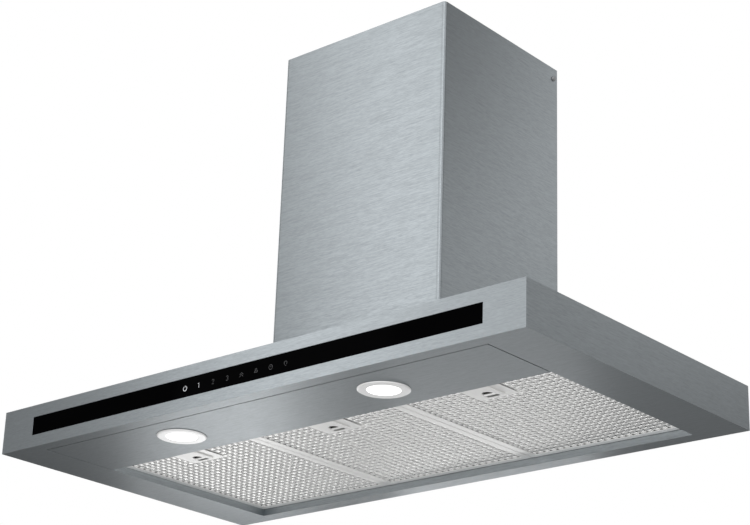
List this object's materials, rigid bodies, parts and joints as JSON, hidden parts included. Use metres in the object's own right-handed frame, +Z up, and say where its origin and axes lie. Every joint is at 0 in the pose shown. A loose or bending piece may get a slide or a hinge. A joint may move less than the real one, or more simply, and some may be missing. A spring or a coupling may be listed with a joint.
{
  "type": "chimney range hood",
  "caption": "Wall-mounted stainless chimney hood: a flat box canopy with a black glass touch strip, round lamps, tilting grease filters, and a blower behind a telescopic chimney cover.",
  "frame": {"origin": "centre of the canopy's back on the wall, at half the canopy's height", "axes": "+X to the right as seen from the front, +Y into the wall, +Z up"},
  "size_m": [0.9, 0.48, 0.6092],
  "materials": {
    "stainless": "stainless steel with a fine grain, satin",
    "galvanised": "galvanised sheet, dull",
    "aluminium": "bright pressed aluminium, satin",
    "aluminium_net": "expanded aluminium net",
    "chrome": "polished",
    "ground_steel": "ground bar",
    "screw_steel": "zinc plated",
    "spring_steel": "blued spring strip",
    "cast_metal": "as cast, matt",
    "black_glass": "black painted from behind, polished",
    "frosted_glass": "frosted",
    "black_plastic": "moulded, fine grain",
    "grey_plastic": "moulded, fine grain",
    "circuit_board": "green lacquer",
    "cable_sheath": "smooth sheath"
  },
  "bodies": {
    "root": {"canopy_shell": "stainless", "back_panel": "galvanised", "lamp_panel": "stainless", "wall_rail": "galvanised", "control_glass": "black_glass", "control_carrier": "black_plastic", "control_board": "circuit_board", "blower_box": "galvanised", "scroll_left": "black_plastic", "scroll_right": "black_plastic", "motor_body": "cast_metal", "motor_bracket": "galvanised", "outlet_collar": "black_plastic", "blower_screw_1": "screw_steel", "blower_screw_2": "screw_steel", "blower_screw_3": "screw_steel", "blower_screw_4": "screw_steel", "capacitor": "grey_plastic", "electronics_box": "grey_plastic", "electronics_cover": "grey_plastic", "power_board": "circuit_board", "cable_gland": "black_plastic", "control_cable": "cable_sheath", "motor_cable": "cable_sheath", "chimney_lower": "stainless", "chimney_bracket": "galvanised", "chimney_screw_left": "screw_steel", "chimney_screw_right": "screw_steel", "lamp_bezel_left": "chrome", "lamp_lens_left": "frosted_glass", "lamp_body_left": "cast_metal", "lamp_clip_left": "spring_steel", "lamp_bezel_right": "chrome", "lamp_lens_right": "frosted_glass", "lamp_body_right": "cast_metal", "lamp_clip_right": "spring_steel"},
    "filter_left": {"filter_frame_left": "aluminium", "filter_mesh_left": "aluminium_net", "filter_media_left": "aluminium_net", "filter_handle_left": "aluminium", "latch_spring_left": "spring_steel"},
    "latch_left": {"latch_grip_left": "aluminium"},
    "filter_middle": {"filter_frame_middle": "aluminium", "filter_mesh_middle": "aluminium_net", "filter_media_middle": "aluminium_net", "filter_handle_middle": "aluminium", "latch_spring_middle": "spring_steel"},
    "latch_middle": {"latch_grip_middle": "aluminium"},
    "filter_right": {"filter_frame_right": "aluminium", "filter_mesh_right": "aluminium_net", "filter_media_right": "aluminium_net", "filter_handle_right": "aluminium", "latch_spring_right": "spring_steel"},
    "latch_right": {"latch_grip_right": "aluminium"},
    "blower_wheel": {"impeller": "grey_plastic", "motor_shaft": "ground_steel"},
    "damper_front": {"damper_flap_front": "grey_plastic"},
    "damper_rear": {"damper_flap_rear": "grey_plastic"},
    "upper_chimney": {"chimney_upper": "stainless", "ceiling_bracket": "galvanised"}
  },
  "joints": [
    {"name": "filter_tilt_left", "type": "hinge", "parent": "root", "child": "filter_left", "pos_m": [-0.254, -0.0272, -0.02], "axis": [1, 0, 0], "range_deg": [0, 45], "deforming": ["latch_spring_left"]},
    {"name": "filter_tilt_middle", "type": "hinge", "parent": "root", "child": "filter_middle", "pos_m": [0, -0.0272, -0.02], "axis": [1, 0, 0], "range_deg": [0, 45], "deforming": ["latch_spring_middle"]},
    {"name": "filter_tilt_right", "type": "hinge", "parent": "root", "child": "filter_right", "pos_m": [0.254, -0.0272, -0.02], "axis": [1, 0, 0], "range_deg": [0, 45], "deforming": ["latch_spring_right"]},
    {"name": "latch_slide_left", "type": "slide", "parent": "filter_left", "child": "latch_left", "axis": [0, 1, 0], "range_m": [0, 0.0045], "stiffness_N_per_m": 600, "springref_m": -0.001, "deforming": ["latch_spring_left"]},
    {"name": "latch_slide_middle", "type": "slide", "parent": "filter_middle", "child": "latch_middle", "axis": [0, 1, 0], "range_m": [0, 0.0045], "stiffness_N_per_m": 600, "springref_m": -0.001, "deforming": ["latch_spring_middle"]},
    {"name": "latch_slide_right", "type": "slide", "parent": "filter_right", "child": "latch_right", "axis": [0, 1, 0], "range_m": [0, 0.0045], "stiffness_N_per_m": 600, "springref_m": -0.001, "deforming": ["latch_spring_right"]},
    {"name": "impeller_spin", "type": "hinge", "parent": "root", "child": "blower_wheel", "pos_m": [0, -0.114, 0.15], "axis": [1, 0, 0], "continuous": true},
    {"name": "damper_front_swing", "type": "hinge", "parent": "root", "child": "damper_front", "pos_m": [0, -0.1505, 0.3049], "axis": [-1, 0, 0], "range_deg": [0, 78]},
    {"name": "damper_rear_swing", "type": "hinge", "parent": "root", "child": "damper_rear", "pos_m": [0, -0.1455, 0.3049], "axis": [1, 0, 0], "range_deg": [0, 78]},
    {"name": "chimney_extend", "type": "slide", "parent": "root", "child": "upper_chimney", "axis": [0, 0, 1], "range_m": [0, 0.4]}
  ]
}
